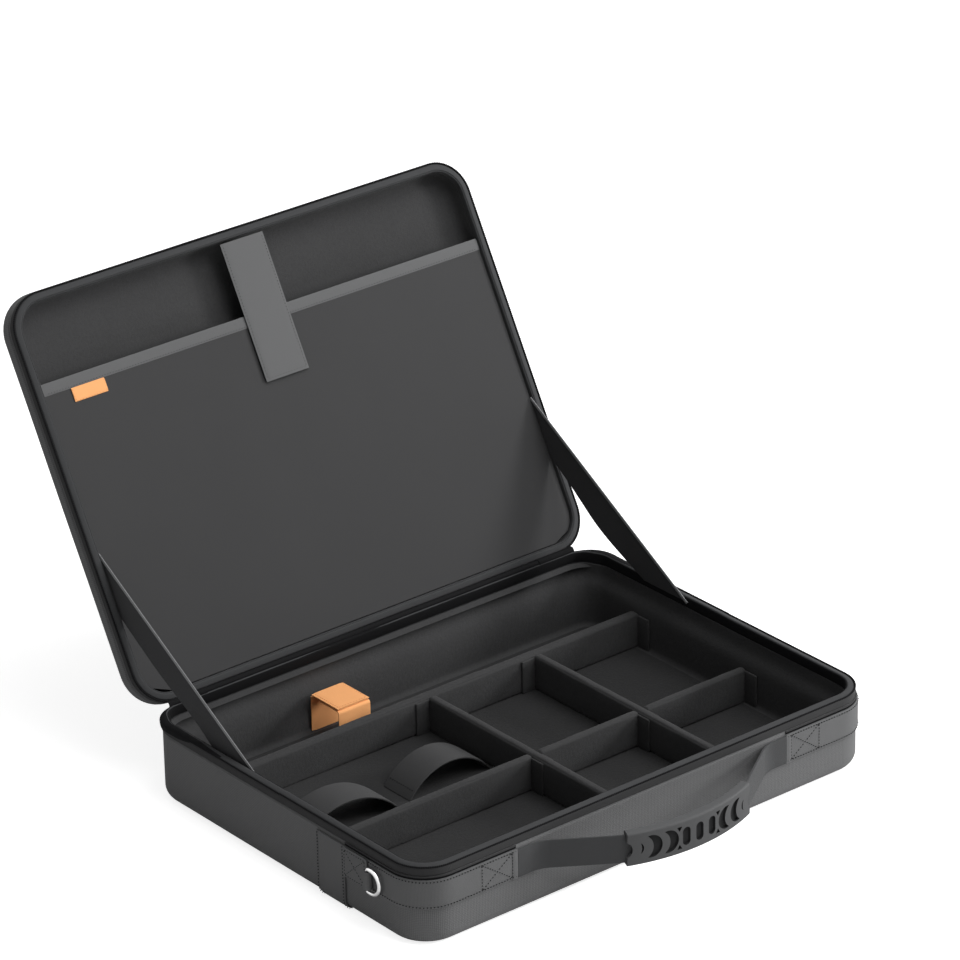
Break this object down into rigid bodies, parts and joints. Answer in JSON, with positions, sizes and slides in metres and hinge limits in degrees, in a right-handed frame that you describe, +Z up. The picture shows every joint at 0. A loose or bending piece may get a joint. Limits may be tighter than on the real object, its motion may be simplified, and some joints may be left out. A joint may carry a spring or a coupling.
{
  "type": "laptop hard case",
  "caption": "Open rectangular hard laptop case with padded dividers in the base, a pocket in the hinged lid, a zip rim and a carrying handle.",
  "frame": {"origin": "on the floor, under the middle of the base", "axes": "+Z up, -Y towards the handle, +X to the right when facing the handle side from the front; the open lid reaches back along +Y"},
  "size_m": [0.4202, 0.5103, 0.323],
  "materials": {
    "shell_fabric": "smooth laminated ballistic fabric",
    "lining_fabric": "brushed loop lining",
    "rim_fabric": "padded matte fabric",
    "binding_webbing": "ribbed binding tape",
    "zipper_tape": "fine woven tape",
    "zipper_coil": "satin nylon coil",
    "piping_cord": "tight woven piping",
    "pocket_fabric": "smooth stretch fabric",
    "woven_label": "plain woven label",
    "closure_webbing": "ribbed webbing",
    "loop_fabric": "hook and loop pile",
    "divider_fabric": "brushed loop lining",
    "elastic_webbing": "ribbed elastic",
    "accent_strap": "woven hook and loop strap",
    "webbing": "ribbed webbing",
    "gusset_fabric": "thin woven lining",
    "grip_rubber": "soft matte moulding",
    "ring_steel": "polished nickel",
    "zipper_metal": "black enamel"
  },
  "bodies": {
    "base": {"base_shell": "shell_fabric", "base_lining": "lining_fabric", "base_rim": "rim_fabric", "base_rim_binding": "binding_webbing", "base_zipper_tape": "zipper_tape", "base_zipper_coil": "zipper_coil", "base_piping": "piping_cord", "hinge_strip": "zipper_tape", "long_divider": "divider_fabric", "cross_divider_left": "divider_fabric", "cross_divider_right": "divider_fabric", "lateral_divider_left": "divider_fabric", "lateral_divider_middle": "divider_fabric", "lateral_divider_right": "divider_fabric", "charger_loop": "elastic_webbing", "cable_loop": "elastic_webbing", "tie_strap_anchor": "accent_strap", "tie_strap_keeper": "accent_strap", "side_band_left": "webbing", "side_band_right": "webbing", "front_band_left": "webbing", "front_band_right": "webbing", "ring_tab_left": "webbing", "ring_tab_right": "webbing", "handle_strap": "webbing", "gusset_left": "gusset_fabric", "gusset_right": "gusset_fabric"},
    "lid": {"lid_shell": "shell_fabric", "lid_lining": "lining_fabric", "lid_rim": "rim_fabric", "lid_rim_binding": "binding_webbing", "lid_zipper_tape": "zipper_tape", "lid_zipper_coil": "zipper_coil", "lid_piping": "piping_cord", "pocket_panel": "pocket_fabric", "pocket_binding": "binding_webbing", "label_tag": "woven_label", "hook_patch": "loop_fabric"},
    "closure": {"closure_strap": "closure_webbing"},
    "tie_flap": {"tie_strap_flap": "accent_strap"},
    "handle": {"handle_grip": "grip_rubber"},
    "ring_left": {"d_ring_left": "ring_steel"},
    "ring_right": {"d_ring_right": "ring_steel"},
    "slider_left": {"zipper_slider_left": "zipper_metal"},
    "slider_right": {"zipper_slider_right": "zipper_metal"},
    "pull_left": {"zipper_pull_left": "zipper_metal"},
    "pull_right": {"zipper_pull_right": "zipper_metal"}
  },
  "joints": [
    {"name": "lid_hinge", "type": "hinge", "parent": "base", "child": "lid", "pos_m": [0, 0.1506, 0.0603], "axis": [-1, 0, 0], "range_deg": [-119, 0], "deforming": ["gusset_left", "gusset_right", "hinge_strip"]},
    {"name": "closure_flap", "type": "hinge", "parent": "lid", "child": "closure", "pos_m": [0.0005, 0.29437, 0.31504], "axis": [-1, 0, 0], "range_deg": [0, 90]},
    {"name": "tie_flap_lift", "type": "hinge", "parent": "base", "child": "tie_flap", "pos_m": [-0.056, 0.1365, 0.0347], "axis": [-1, 0, 0], "range_deg": [0, 90]},
    {"name": "handle_swing", "type": "hinge", "parent": "base", "child": "handle", "pos_m": [0, -0.152, 0.0391], "axis": [-1, 0, 0], "range_deg": [-25, 35], "deforming": ["handle_strap"]},
    {"name": "ring_left_swivel", "type": "hinge", "parent": "base", "child": "ring_left", "pos_m": [-0.2071, -0.101, 0.0375], "axis": [0, 0, -1], "range_deg": [0, 150]},
    {"name": "ring_right_swivel", "type": "hinge", "parent": "base", "child": "ring_right", "pos_m": [0.2071, -0.101, 0.0375], "axis": [0, 0, 1], "range_deg": [0, 150]},
    {"name": "slider_left_travel", "type": "slide", "parent": "base", "child": "slider_left", "axis": [-1, 0, 0], "range_m": [0, 0.012]},
    {"name": "slider_right_travel", "type": "slide", "parent": "base", "child": "slider_right", "axis": [1, 0, 0], "range_m": [0, 0.012]},
    {"name": "pull_left_swing", "type": "hinge", "parent": "slider_left", "child": "pull_left", "pos_m": [-0.1575, 0.1559, 0.0553], "axis": [1, 0, 0], "range_deg": [0, 55]},
    {"name": "pull_right_swing", "type": "hinge", "parent": "slider_right", "child": "pull_right", "pos_m": [0.1575, 0.1559, 0.0553], "axis": [1, 0, 0], "range_deg": [0, 55]}
  ]
}
